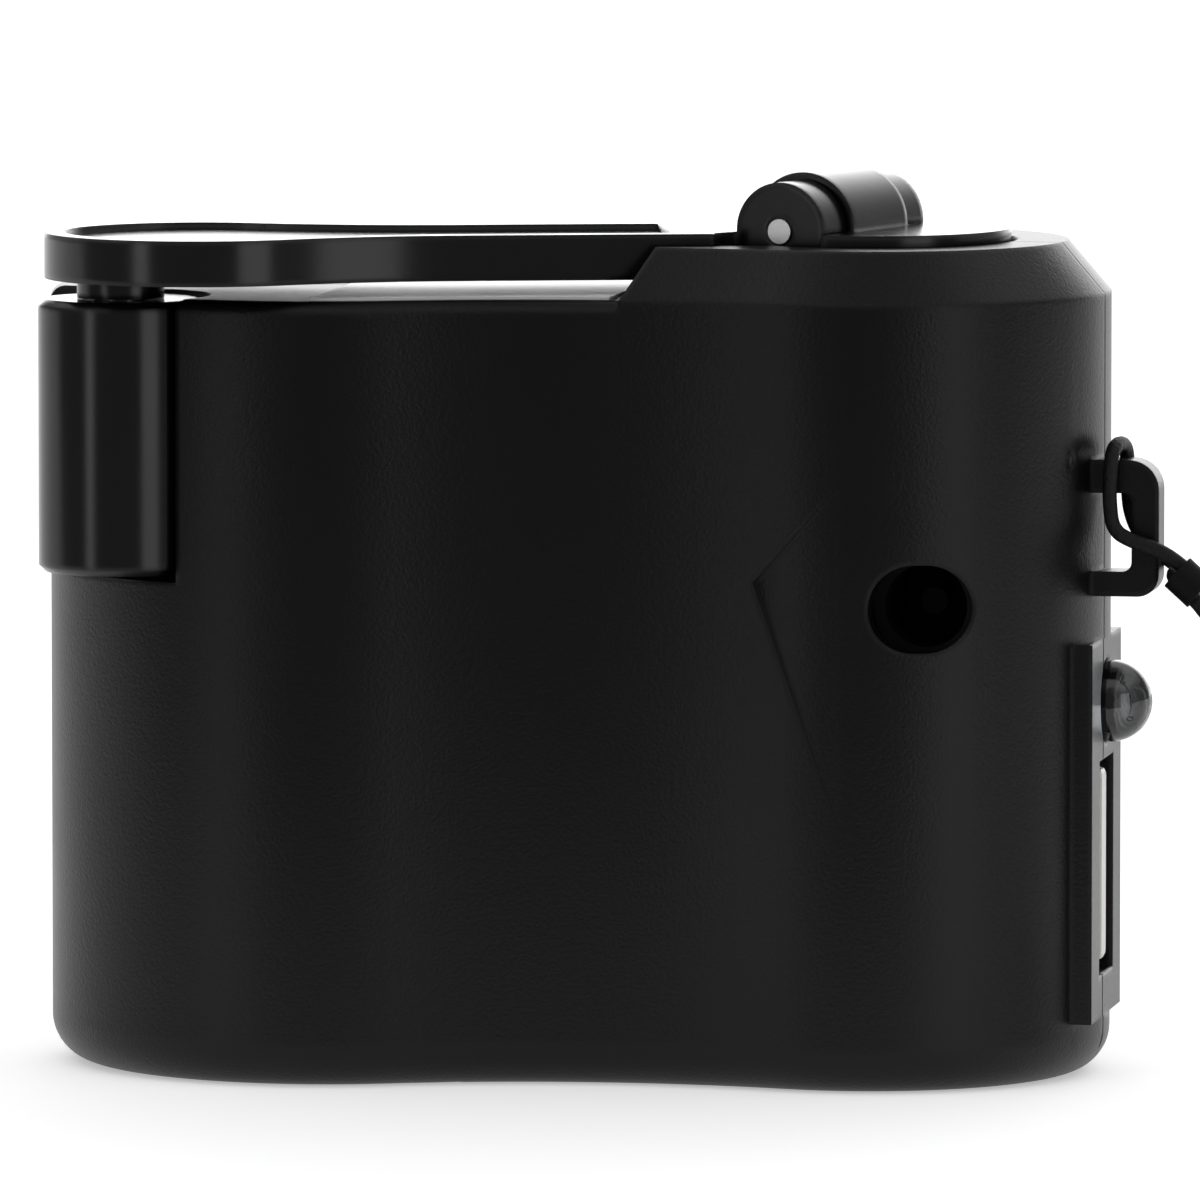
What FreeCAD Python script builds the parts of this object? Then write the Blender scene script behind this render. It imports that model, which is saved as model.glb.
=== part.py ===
"""Hand crank phone charger: a peanut-shaped clamshell housing with a folding crank on top, a gear train,
a small generator, a charging board with a USB socket, a DC jack, a lamp and a wrist cord.

Frame: +X runs along the body to the end with the USB socket, -Y is the side with the DC jack, +Z is up.
The origin lies on the flat base, midway between the ends of the housing. Lengths are in millimetres.
"""
import math
import os
import re

import FreeCAD
import Part
import Sketcher

V = FreeCAD.Vector
TURN = 2 * math.pi

# ---------------------------------------------------------------- driving dimensions
SIZES = {
    # housing
    "body_height": (47.5, "base to the lower top face"),
    "left_radius": (17.1, "round end that holds the generator"),
    "right_radius": (14.7, "round end that holds the crank"),
    "left_x": (-15.6, "axis of the left end"),
    "right_x": (17.7, "axis of the right end and of the crank"),
    "waist_radius": (35, "hollow arc between the two ends"),
    "wall": (1.8, "housing wall"),
    "foot_fillet": (2.8, "round of the base edge"),
    "rim_fillet": (0.9, "round of the lower top edge"),
    "parting_y": (-1.5, "plane where the two shells meet"),
    # raised crank platform
    "platform_rise": (3.1, "height over the lower top face"),
    "platform_inset": (2.6, "width of the bevel round the platform"),
    "platform_step": (1.8, "width of the bevel at the platform's left edge"),
    "platform_x": (4.5, "left edge of the platform's bevel"),
    "well_radius": (9.0, "round well for the crank hub"),
    "well_depth": (2.6, "depth of that well"),
    # crank
    "crank_angle": (15.6, "stowed crank, turned from the body's long axis"),
    "crank_reach": (45.5, "crank axis to knob axis"),
    "arm_half_width": (5.5, "half width of the arm's slim part"),
    "flare_radius": (24.1, "hollow arc between the slim part and the round end"),
    "paddle_radius": (9.4, "round end of the arm"),
    "paddle_reach": (40.7, "crank axis to the centre of that round end"),
    "arm_thickness": (2.75, "arm"),
    "arm_rise": (3.8, "top face of the stowed arm over the lower top face"),
    "arm_recess": (0.4, "depth of the long recess in the arm's top"),
    "recess_half_width": (5.3, "half width of that recess"),
    "hub_radius": (8.6, "crank hub"),
    "hub_rise": (3.8, "top face of the hub over the lower top face"),
    "pin_x": (15.3, "middle of the hinge on the body's long axis"),
    "pin_rise": (3.9, "hinge pin over the lower top face"),
    "pin_turn": (17, "hinge pin, turned from +Y towards +X"),
    "pin_radius": (0.75, "hinge pin"),
    "ear_radius": (2.95, "hinge ears of the arm"),
    "knuckle_radius": (3.4, "hinge knuckle of the hub"),
    "barrel_length": (13.7, "whole hinge"),
    "knuckle_length": (7.4, "middle part of the hinge"),
    "hinge_gap": (0.3, "free space round and between hinge parts"),
    "fit": (0.05, "radial clearance of running fits"),
    # knob
    "knob_radius": (5.0, "knob"),
    "knob_length": (16.5, "knob"),
    "knob_sink": (0.2, "upper end of the stowed knob under the lower top face"),
    "knob_bevel": (0.4, "bevelled rims of the knob"),
    "neck_radius": (2.65, "collar between arm and knob"),
    "stud_radius": (1.6, "stud that the knob turns on"),
    "groove_play": (0.45, "free space round the stowed knob"),
    "groove_drop": (0.4, "floor of the knob groove under the stowed knob"),
    # drive
    "shaft_radius": (2.0, "crank shaft"),
    "shaft_rise": (2.7, "upper end of the crank shaft over the lower top face"),
    "gear_module": (0.5, "all gears"),
    "crank_teeth": (42, "crank gear"),
    "first_teeth": (36, "large wheel of the first gear"),
    "second_teeth": (26, "large wheel of the second gear"),
    "pinion_teeth": (10, "all pinions"),
    "axle_radius": (0.75, "fixed steel axles"),
    "plate_thickness": (1.4, "gear plates"),
    "plate_spacing": (9.8, "underside of one gear plate to underside of the other"),
    "upper_plate_drop": (3.9, "underside of the upper gear plate under the lower top face"),
    # generator
    "generator_x": (-14.5, "generator axis"),
    "generator_y": (1.5, "generator axis"),
    "generator_radius": (10.2, "generator can"),
    "generator_length": (20, "generator can"),
    "rotor_radius": (6.9, "armature"),
    # electronics
    "usb_z": (12.7, "middle height of the USB socket"),
    "usb_tall": (12.9, "USB shell, upright"),
    "usb_wide": (5.7, "USB shell, across"),
    "usb_deep": (14, "USB shell"),
    "usb_metal": (0.35, "USB shell sheet"),
    "end_x": (32.3, "flat end face of the socket collar"),
    "collar_half": (6.2, "half width of the socket collar"),
    "collar_low": (3.6, "foot of the socket collar"),
    "collar_high": (26.6, "top of the socket collar"),
    "usb_recess": (1.1, "socket face behind the collar face"),
    "lamp_z": (22.7, "height of the lamp"),
    "lamp_radius": (2.5, "lamp"),
    "lamp_tip_x": (35.1, "tip of the lamp's dome"),
    "jack_x": (22.9, "DC jack"),
    "jack_z": (29.3, "DC jack"),
    "jack_wide": (6.0, "oval hole for the DC plug"),
    "jack_tall": (5.3, "oval hole for the DC plug"),
    "jack_radius": (3.2, "jack body"),
    "jack_bore": (2.5, "jack bore"),
    "board_thickness": (1.2, "circuit board"),
    # lanyard bail and cord
    "bail_high": (37.65, "top of the bail"),
    "bail_low": (29.4, "underside of the bail"),
    "bail_top_leg": (2.0, "upper leg of the bail"),
    "bail_low_leg": (1.5, "lower leg of the bail"),
    "bail_bar": (1.65, "upright bar of the bail"),
    "bail_stand": (3.6, "outer face of the bail beyond the end of the housing"),
    "bail_top_round": (1.8, "upper outer corner of the bail"),
    "bail_low_round": (1.3, "lower outer corner of the bail"),
    "bail_near_y": (-4.0, "near face of the bail"),
    "cord_diameter": (0.9, "wrist cord"),
    "coil_radius": (5.0, "middle of the turns of the laid-down cord"),
    "coil_x": (57.5, "middle of the laid-down turns"),
    "coil_y": (-8.0, "middle of the laid-down turns"),
    "ferrule_radius": (1.15, "sleeve that joins the two strands of the cord"),
    "knot_radius": (1.2, "knot at the cord's far end"),
    "seam": (0.24, "width of the fine groove between the shells"),
    # screws
    "screw_radius": (1.0, "housing screws"),
    "screw_head_radius": (1.6, "heads of the housing screws"),
    "boss_radius": (2.4, "screw bosses"),
    "label_thickness": (0.15, "label"),
}

# places that follow other sizes, each as a sum of them
FOLLOWING = {
    "arm_top": "+body_height +arm_rise",
    "hub_top": "+body_height +hub_rise",
    "pin_z": "+body_height +pin_rise",
    "knob_top": "+body_height -knob_sink",
    "knob_foot": "+knob_top -knob_length",
    "groove_floor": "+knob_foot -groove_drop",
    "shaft_top": "+body_height +shaft_rise",
    "upper_plate_z": "+body_height -upper_plate_drop",
    "lower_plate_z": "+upper_plate_z -plate_spacing",
    "bail_reach": "+right_x +right_radius +bail_stand",
}

doc = FreeCAD.newDocument("hand_crank_charger")
sheet = doc.addObject("Spreadsheet::Sheet", "Sizes")
for row, (alias, (number, note)) in enumerate(SIZES.items(), start=1):
    sheet.set(f"A{row}", alias)
    sheet.set(f"B{row}", str(number))
    sheet.setAlias(f"B{row}", alias)
    sheet.set(f"C{row}", note)
doc.recompute()


# ---------------------------------------------------------------- helpers
def reference(name):
    """The sheet's cell for a size, or a bracketed sum of cells for a place that follows them."""
    if name in FOLLOWING:
        return "(0" + "".join(f" {term[0]} {reference(term[1:])}" for term in FOLLOWING[name].split()) + ")"
    return "Sizes." + name if name in SIZES else name


def bound(text):
    """Turns size names in a formula into references to the sheet."""
    return re.sub(r"[a-z][a-z0-9_]*", lambda m: reference(m[0]), str(text))


def size(alias):
    if alias in FOLLOWING:
        return sum(size(term[1:]) * (-1 if term[0] == "-" else 1) for term in FOLLOWING[alias].split())
    return float(sheet.get(alias))


def bind(obj, **formulas):
    for prop, text in formulas.items():
        obj.setExpression(prop, bound(text))
    return obj


def place(obj, x=0, y=0, z=0, axis=V(0, 0, 1), turn=0):
    """Puts an object at a bound position, turned by a fixed angle about an axis."""
    obj.Placement = FreeCAD.Placement(V(), FreeCAD.Rotation(axis, turn))
    for name, text in zip("xyz", (x, y, z)):
        if str(text) != "0":
            obj.setExpression(f"Placement.Base.{name}", bound(text))
    return obj


def box(name, length, width, height, x=0, y=0, z=0, turn=0):
    obj = bind(doc.addObject("Part::Box", name), Length=length, Width=width, Height=height)
    return place(obj, x, y, z, turn=turn)


def rod(name, radius, height, x=0, y=0, z=0, axis=V(0, 0, 1), turn=0):
    obj = bind(doc.addObject("Part::Cylinder", name), Radius=radius, Height=height)
    return place(obj, x, y, z, axis, turn)


def rod_x(name, radius, height, x=0, y=0, z=0):
    return rod(name, radius, height, x, y, z, V(0, 1, 0), 90)


def rod_y(name, radius, height, x=0, y=0, z=0):
    return rod(name, radius, height, x, y, z, V(1, 0, 0), -90)


def fuse(name, *parts):
    obj = doc.addObject("Part::MultiFuse", name)
    obj.Shapes = list(parts)
    return obj


def cut(name, base, *tools):
    obj = doc.addObject("Part::Cut", name)
    obj.Base = base
    obj.Tool = tools[0] if len(tools) == 1 else fuse(name + "_tools", *tools)
    return obj


def common(name, *parts):
    obj = doc.addObject("Part::MultiCommon", name)
    obj.Shapes = list(parts)
    return obj


def group(name, *parts):
    obj = doc.addObject("Part::Compound", name)
    obj.Links = list(parts)
    return obj


def plane_of(body, role):
    return next(p for p in body.Origin.OriginFeatures if p.Role == role)


def sketch_on(body, name, height=0):
    sketch = body.newObject("Sketcher::SketchObject", name)
    sketch.AttachmentSupport = [(plane_of(body, "XY_Plane"), "")]
    sketch.MapMode = "FlatFace"
    if height:
        sketch.setExpression("AttachmentOffset.Base.z", bound(height))
    return sketch


def arc(sketch, x, y, radius, start, end):
    return sketch.addGeometry(Part.ArcOfCircle(Part.Circle(V(x, y), V(0, 0, 1), radius), start, end))


def constrain(sketch, kind, *where, formula=None):
    index = sketch.addConstraint(Sketcher.Constraint(kind, *where))
    if formula is not None:
        sketch.setExpression(f"Constraints[{index}]", bound(formula))
    return index


def edges_where(shape, test):
    return [f"Edge{i}" for i, edge in enumerate(shape.Edges, start=1) if test(edge)]


def flat_at(z):
    return lambda edge: abs(edge.BoundBox.ZMin - z) < 1e-4 and abs(edge.BoundBox.ZMax - z) < 1e-4


def shape_part(name, shape):
    """A piece whose shape is worked out in code from the sheet's sizes."""
    obj = doc.addObject("Part::Feature", name)
    obj.Shape = shape
    obj.Placement = FreeCAD.Placement()
    return obj


# ---------------------------------------------------------------- places worked out from the sizes
turn_in = math.radians(180 + size("crank_angle"))
ARM = V(math.cos(turn_in), math.sin(turn_in), 0)
SIDE = V(-math.sin(turn_in), math.cos(turn_in), 0)
HUB = V(size("right_x"), 0, 0)
KNOB = HUB + ARM * size("crank_reach")
pin_angle = math.radians(90 - size("pin_turn"))
PIN = V(math.cos(pin_angle), math.sin(pin_angle), 0)
OUT = V(-PIN.y, PIN.x, 0)
PIN_MIDDLE = V(size("pin_x"), 0, size("pin_z"))
WELL_Z = size("body_height") + size("platform_rise") - size("well_depth")


def meet(first, second, r1, r2, side):
    """The point r1 from the first point and r2 from the second, on the given side of the line between."""
    across = second - first
    d = across.Length
    along = (r1 * r1 - r2 * r2 + d * d) / (2 * d)
    away = math.sqrt(r1 * r1 - along * along)
    unit = across / d
    return first + unit * along + V(-unit.y, unit.x, 0) * (side * away)


half_module = size("gear_module") / 2
FIRST = HUB - V((size("crank_teeth") + size("pinion_teeth")) * half_module, 0, 0)
ROTOR = V(size("generator_x"), size("generator_y"), 0)
SECOND = meet(
    FIRST,
    ROTOR,
    (size("first_teeth") + size("pinion_teeth")) * half_module,
    (size("second_teeth") + size("pinion_teeth")) * half_module,
    1,
)


# ---------------------------------------------------------------- housing
def peanut(body, name, inset, height):
    """The housing's outline, moved in by inset: two round ends joined by two hollow waist arcs."""
    sketch = sketch_on(body, name, height)
    r1, r2, rw = size("left_radius"), size("right_radius"), size("waist_radius")
    x1, x2 = size("left_x"), size("right_x")
    along = ((r1 + rw) ** 2 - (r2 + rw) ** 2 + (x2 - x1) ** 2) / (2 * (x2 - x1))
    away = math.sqrt((r1 + rw) ** 2 - along**2)
    left_tilt = math.atan2(away, along)
    right_tilt = math.atan2(away, x1 + along - x2)
    left = arc(sketch, x1, 0, r1, left_tilt, TURN - left_tilt)
    near = arc(sketch, x1 + along, -away, rw, math.pi - right_tilt, math.pi - left_tilt)
    right = arc(sketch, x2, 0, r2, -right_tilt, right_tilt)
    far = arc(sketch, x1 + along, away, rw, math.pi + left_tilt, math.pi + right_tilt)
    constrain(sketch, "Tangent", left, 2, near, 2)
    constrain(sketch, "Tangent", near, 1, right, 1)
    constrain(sketch, "Tangent", right, 2, far, 2)
    constrain(sketch, "Tangent", far, 1, left, 1)
    constrain(sketch, "PointOnObject", left, 3, -1)
    constrain(sketch, "PointOnObject", right, 3, -1)
    constrain(sketch, "DistanceX", left, 3, -1, 1, -x1, formula="-left_x")
    constrain(sketch, "DistanceX", -1, 1, right, 3, x2, formula="right_x")
    constrain(sketch, "Radius", left, r1, formula=f"left_radius - ({inset})")
    constrain(sketch, "Radius", right, r2, formula=f"right_radius - ({inset})")
    constrain(sketch, "Radius", near, rw, formula=f"waist_radius + ({inset})")
    constrain(sketch, "Radius", far, rw, formula=f"waist_radius + ({inset})")
    return sketch


def peanut_block(name, inset, low, high):
    body = doc.addObject("PartDesign::Body", name)
    sketch = peanut(body, name + "_outline", inset, low)
    pad = body.newObject("PartDesign::Pad", name + "_pad")
    pad.Profile = sketch
    bind(pad, Length=f"({high}) - ({low})")
    doc.recompute()
    return body


def round_edges(body, name, test, radius):
    doc.recompute()
    base = body.Tip
    fillet = body.newObject("PartDesign::Fillet", name)
    fillet.Base = (base, edges_where(base.Shape, test))
    bind(fillet, Radius=radius)
    body.Tip = fillet
    doc.recompute()


platform_top = "body_height + platform_rise"

block = peanut_block("housing_block", "0", "0", "body_height")
round_edges(block, "foot_round", flat_at(0), "foot_fillet")
round_edges(block, "rim_round", flat_at(size("body_height")), "rim_fillet")

raised = common(
    "platform_block",
    peanut_block("platform_outline", "0", "body_height - 2 * rim_fillet", platform_top),
    box("platform_side", "60", "60", "20", "platform_x", "-30", "body_height - 2 * rim_fillet"),
)
doc.recompute()
platform = doc.addObject("Part::Chamfer", "platform")
platform.Base = raised
top_edges = edges_where(raised.Shape, flat_at(size("body_height") + size("platform_rise")))
down = size("platform_rise") - 0.02


def bevel_sizes(shape, name):
    """Which of the two bevel widths goes first depends on which face of the edge comes first."""
    edge = shape.getElement(name)
    inward = size("platform_step") if edge.BoundBox.XMax < size("platform_x") + 0.01 else size("platform_inset")
    first = next(face for face in shape.Faces if any(edge.isSame(e) for e in face.Edges))
    top_first = abs(first.normalAt(0, 0).z) > 0.9
    return (inward, down) if top_first else (down, inward)


platform.Edges = [(int(name[4:]), *bevel_sizes(raised.Shape, name)) for name in top_edges]
doc.recompute()

cavity = cut(
    "cavity",
    peanut_block("cavity_block", "wall", "wall", "body_height - wall"),
    rod(
        "groove_pillar",
        "knob_radius + groove_play + 1.5",
        "body_height",
        repr(KNOB.x),
        repr(KNOB.y),
        "groove_floor - wall",
    ),
    box(
        "groove_pillar_side",
        "12",
        "2 * (knob_radius + groove_play + 1.5)",
        "body_height",
        f"{KNOB.x!r} + {PIN.x!r} * (knob_radius + groove_play + 1.5)",
        f"{KNOB.y!r} + {PIN.y!r} * (knob_radius + groove_play + 1.5)",
        "groove_floor - wall",
        turn=math.degrees(math.atan2(OUT.y, OUT.x)),
    ),
)
doc.recompute()


# (X, Z, Y of the seat under the head) of the four housing screws
SCREWS = {"low_left": (-25.5, 8, 9), "low_middle": (1, 7.5, 8), "middle": (1, 26, 8), "right": (30, 37.8, 5)}


def along_y(name, radius, x, z, start=-25, end=25):
    return rod_y(name, radius, f"({end}) - ({start})", x, start, z)


turn_in_degrees = math.degrees(turn_in)
out_degrees = math.degrees(math.atan2(OUT.y, OUT.x))

bosses = common(
    "bosses",
    block,
    fuse(
        "boss_rods",
        *[along_y(f"boss_{k}", "boss_radius", x, z) for k, (x, z, seat) in SCREWS.items()],
    ),
)
cavity_room = peanut_block("cavity_room", "wall - 0.05", "1", "body_height - wall")
plate_ledge = cut(
    "plate_ledge",
    peanut_block("plate_ledge_outer", "wall - 0.05", "lower_plate_z - 0.8", "lower_plate_z"),
    peanut_block("plate_ledge_inner", "wall + 3", "lower_plate_z - 2", "lower_plate_z + 1"),
)
upper_ledge = common(
    "upper_ledge",
    cut(
        "upper_ledge_ring",
        rod("upper_ledge_outer", "right_radius - wall + 0.05", "0.8", "right_x", "0", "upper_plate_z - 0.8"),
        rod("upper_ledge_inner", "11.4", "4", "right_x", "0", "upper_plate_z - 2"),
    ),
    box("upper_ledge_side", "30", "40", "10", "10", "-20", "upper_plate_z - 5"),
)
cradle = common(
    "cradle",
    cut(
        "cradle_ring",
        peanut_block("cradle_outer", "wall - 0.05", "18", "19.5"),
        rod("cradle_hole", "generator_radius", "4", "generator_x", "generator_y", "17"),
    ),
    box("cradle_side", "30", "40", "10", "-35", "-20", "14"),
)
board_posts = common(
    "board_posts",
    block,
    fuse(
        "post_rods",
        rod_y("post_low", "1.8", "20", "10", "2.85 + board_thickness", "12"),
        rod_y("post_high", "1.8", "20", "24", "2.85 + board_thickness", "26"),
    ),
)

collar = box("collar", "end_x - 24", "2 * collar_half", "collar_high - collar_low", "24", "-collar_half", "collar_low")
bail_width = "parting_y - bail_near_y"
eye_x, eye_low, eye_high = "bail_reach - bail_bar", "bail_low + bail_low_leg", "bail_high - bail_top_leg"
bail_loop = cut(
    "bail_loop",
    box("bail_outer", "bail_stand + 1.4", bail_width, "bail_high - bail_low", "bail_reach - bail_stand - 1.4", "bail_near_y", "bail_low"),
    box("bail_eye", f"{eye_x} - 20", "20", f"({eye_high}) - ({eye_low})", "20", "-12", eye_low),
)
doc.recompute()


def corner_round(shape, name):
    """The round of an edge that runs across the bail: wide on its outside, small inside its eye, none at its root."""
    box_of = shape.getElement(name).BoundBox
    if box_of.XLength > 0.01 or box_of.ZLength > 0.01 or box_of.XMin < 32:
        return 0
    if box_of.XMin < size("bail_reach") - 0.01:
        return 0.6
    return size("bail_top_round") if box_of.ZMin > size("bail_high") - 0.01 else size("bail_low_round")


bail = doc.addObject("Part::Fillet", "bail")
bail.Base = bail_loop
rounds = {f"Edge{i}": corner_round(bail_loop.Shape, f"Edge{i}") for i in range(1, len(bail_loop.Shape.Edges) + 1)}
bail.Edges = [(int(name[4:]), radius, radius) for name, radius in rounds.items() if radius]
doc.recompute()

hub_well = rod("hub_well", "well_radius", "20", "right_x", "0", "body_height + platform_rise - well_depth")
NEAR_WALL, FAR_WALL = size("arm_half_width") + 0.4, 6.5
channel = box(
    "arm_channel",
    "45",
    repr(NEAR_WALL + FAR_WALL),
    "20",
    f"right_x + ({-SIDE.x * FAR_WALL!r})",
    repr(-SIDE.y * FAR_WALL),
    "body_height + platform_rise - well_depth",
    turn=turn_in_degrees,
)
groove = rod("knob_groove", "knob_radius + groove_play", "40", repr(KNOB.x), repr(KNOB.y), "groove_floor")
groove_side = box(
    "knob_groove_side",
    "20",
    "2 * (knob_radius + groove_play)",
    "40",
    f"{KNOB.x!r} + {PIN.x!r} * (knob_radius + groove_play)",
    f"{KNOB.y!r} + {PIN.y!r} * (knob_radius + groove_play)",
    "groove_floor",
    turn=out_degrees,
)
bush_hole = rod("bush_hole", "shaft_radius + 1", "10", "right_x", "0", "body_height - wall - 2")
usb_hole = box(
    "usb_hole",
    "10",
    "usb_wide + 0.2",
    "usb_tall + 0.2",
    "28",
    "-usb_wide / 2 - 0.1",
    "usb_z - usb_tall / 2 - 0.1",
)
lamp_hole = rod_x("lamp_hole", "lamp_radius + 0.1", "20", "24", "0", "lamp_z")
end_flat = box("end_flat", "5", "2 * collar_half", "collar_high - collar_low", "end_x", "-collar_half", "collar_low")
jack_hole = fuse(
    "jack_hole",
    along_y("jack_hole_left", "jack_tall / 2", "jack_x - (jack_wide - jack_tall) / 2", "jack_z", -25, -8),
    along_y("jack_hole_right", "jack_tall / 2", "jack_x + (jack_wide - jack_tall) / 2", "jack_z", -25, -8),
    box(
        "jack_hole_middle",
        "jack_wide - jack_tall",
        "17",
        "jack_tall",
        "jack_x - (jack_wide - jack_tall) / 2",
        "-25",
        "jack_z - jack_tall / 2",
    ),
    along_y("jack_seat", "jack_radius + 0.1", "jack_x", "jack_z", -11.05, -8),
)
CHEVRON = [(18.1, 36.65), (12.85, 30.8), (18.1, 16.4)]
chevron_wire = Part.makePolygon([V(x, -20, z) for x, z in CHEVRON + CHEVRON[:1]])
chevron = cut(
    "chevron",
    shape_part("chevron_prism", Part.Face(chevron_wire).extrude(V(0, 12, 0))),
    rod("chevron_floor", "12", "30", "18.12", "-2.67", "12"),
)
screw_holes = []
for key, (x, z, seat) in SCREWS.items():
    screw_holes.append(along_y(f"screw_hole_{key}", "screw_radius", x, z, -6.5, seat))
    screw_holes.append(along_y(f"screw_well_{key}", "screw_head_radius + 0.15", x, z, seat, 25))

seam_groove = cut(
    "seam_groove",
    box("seam_slot", "64.9", "seam", "body_height - 0.5", "-32.6", "parting_y - seam / 2", "0.25"),
    peanut_block("seam_floor", "seam", "0", "body_height"),
)
hollow = cut("hollow", fuse("outer", block, platform, collar), cavity)
inner = common("inner", fuse("inner_parts", plate_ledge, upper_ledge, cradle, board_posts, bosses), block)
housing = cut(
    "housing",
    fuse("housing_solid", hollow, bail, inner),
    hub_well,
    channel,
    groove,
    groove_side,
    bush_hole,
    usb_hole,
    lamp_hole,
    end_flat,
    jack_hole,
    chevron,
    seam_groove,
    *screw_holes,
)
front_shell = common("front_shell", housing, box("front_side", "120", "60 + parting_y", "80", "-60", "-60", "-5"))
rear_shell = common("rear_shell", housing, box("rear_side", "120", "60 - parting_y", "80", "-60", "parting_y", "-5"))
doc.recompute()
label_plate = common(
    "label_plate",
    peanut_block("label_outline", "rim_fillet + 0.5", "body_height", "body_height + label_thickness"),
    box("label_side", "17.6", "30", "10", "-13.9", "-26", "body_height - 5"),
)

shell_screws = group(
    "shell_screws",
    *[
        fuse(
            f"screw_{key}",
            along_y(f"screw_shank_{key}", "screw_radius", x, z, -6, seat),
            along_y(f"screw_head_{key}", "screw_head_radius", x, z, seat, seat + 1.2),
        )
        for key, (x, z, seat) in SCREWS.items()
    ],
)

# ---------------------------------------------------------------- crank, drawn with its shaft on Z and its arm along +X
LOCAL_PIN = V((PIN_MIDDLE - HUB).dot(ARM), (PIN_MIDDLE - HUB).dot(SIDE), size("pin_z"))
LOCAL_AXIS = V(PIN.dot(ARM), PIN.dot(SIDE), 0)
LOCAL_OUT = V(OUT.dot(ARM), OUT.dot(SIDE), 0)
pin_turned = FreeCAD.Rotation(V(0, 0, 1), LOCAL_AXIS)


def pin_rod(name, radius, start, end):
    """A rod round the hinge pin's axis, between two distances from the middle of the hinge."""
    obj = bind(doc.addObject("Part::Cylinder", name), Radius=radius, Height=f"({end}) - ({start})")
    obj.Placement = FreeCAD.Placement(V(), pin_turned)
    obj.setExpression("Placement.Base.x", bound(f"{LOCAL_PIN.x!r} + {LOCAL_AXIS.x!r} * ({start})"))
    obj.setExpression("Placement.Base.y", bound(f"{LOCAL_PIN.y!r} + {LOCAL_AXIS.y!r} * ({start})"))
    obj.setExpression("Placement.Base.z", bound("pin_z"))
    return obj


def on_crank(obj):
    """Turns a finished crank piece from its own frame into the stowed position."""
    return place(obj, "right_x", turn=turn_in_degrees)


arm_low = size("arm_top") - size("arm_thickness")
spread = math.sqrt(
    (size("flare_radius") + size("paddle_radius")) ** 2 - (size("arm_half_width") + size("flare_radius")) ** 2
)
SLIM_END = size("paddle_reach") - spread
JOIN = size("paddle_radius") / (size("flare_radius") + size("paddle_radius"))
JOIN_R = size("paddle_reach") - spread * JOIN
JOIN_W = (size("arm_half_width") + size("flare_radius")) * JOIN
half_barrel = size("barrel_length") / 2
near_end = LOCAL_PIN + LOCAL_AXIS * -half_barrel
far_end = LOCAL_PIN + LOCAL_AXIS * half_barrel
if near_end.y < far_end.y:
    near_end, far_end = far_end, near_end
half_arm = size("arm_half_width")
near_ear = near_end + LOCAL_OUT * size("ear_radius")
far_ear = far_end + LOCAL_OUT * size("ear_radius")
root_points = [
    (near_ear.x + 2.4, half_arm),
    (near_ear.x, near_ear.y),
    (near_end.x, near_end.y),
    (far_end.x, far_end.y),
    (far_ear.x, far_ear.y),
    (far_ear.x + 3.5, -half_arm),
    (near_ear.x + 2.4, -half_arm),
]
root_wire = Part.makePolygon([V(x, y, arm_low) for x, y in root_points + root_points[:1]])
arm_root = shape_part("arm_root", Part.Face(root_wire).extrude(V(0, 0, size("arm_thickness"))))
arm_z = "arm_top - arm_thickness"


def flare_cut(name, side, clear="0"):
    return rod(name, f"flare_radius + ({clear})", "20", SLIM_END, f"{side} * (arm_half_width + flare_radius)", "arm_top - 10")


arm_plate = fuse(
    "arm_plate",
    arm_root,
    box("arm_slim", f"{SLIM_END!r} - 10", "2 * arm_half_width", "arm_thickness", "10", "-arm_half_width", arm_z),
    cut(
        "arm_flare",
        box("arm_wide", repr(JOIN_R - SLIM_END), repr(2 * JOIN_W), "arm_thickness", SLIM_END, -JOIN_W, arm_z),
        flare_cut("flare_near", 1),
        flare_cut("flare_far", -1),
    ),
    rod("arm_round", "paddle_radius", "arm_thickness", "paddle_reach", "0", arm_z),
    rod("neck", "neck_radius", "arm_top - knob_top - fit - 1", "crank_reach", "0", "knob_top + fit"),
    pin_rod("ear_near", "ear_radius", "knuckle_length / 2 + hinge_gap - 0.05", "barrel_length / 2"),
    pin_rod("ear_far", "ear_radius", "-barrel_length / 2", "-knuckle_length / 2 - hinge_gap + 0.05"),
)
recess_low = "arm_top - arm_recess"
arm_recess = fuse(
    "arm_recess_shape",
    box("recess_slim", f"{SLIM_END!r} - 12.5", "8.6", "5", "12.5", "-4.3", recess_low),
    cut(
        "recess_flare",
        box("recess_wide", repr(JOIN_R - SLIM_END), repr(2 * JOIN_W), "5", SLIM_END, -JOIN_W, recess_low),
        flare_cut("recess_near", 1, "1.2"),
        flare_cut("recess_far", -1, "1.2"),
    ),
    rod("recess_round", "paddle_radius - 1.2", "5", "paddle_reach", "0", recess_low),
)
crank_arm = on_crank(
    cut(
        "crank_arm",
        arm_plate,
        arm_recess,
        pin_rod("arm_notch", "knuckle_radius + hinge_gap", "-knuckle_length / 2 - hinge_gap + 0.05", "knuckle_length / 2 + hinge_gap - 0.05"),
        pin_rod("arm_pin_hole", "pin_radius", "-10", "10"),
        rod("arm_stud_hole", "stud_radius", "10", "crank_reach", "0", "knob_top - 1"),
    )
)
hinge_pin = on_crank(group("hinge_pin", pin_rod("pin_wire", "pin_radius", "-barrel_length / 2 - 0.2", "barrel_length / 2 + 0.2")))

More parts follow.
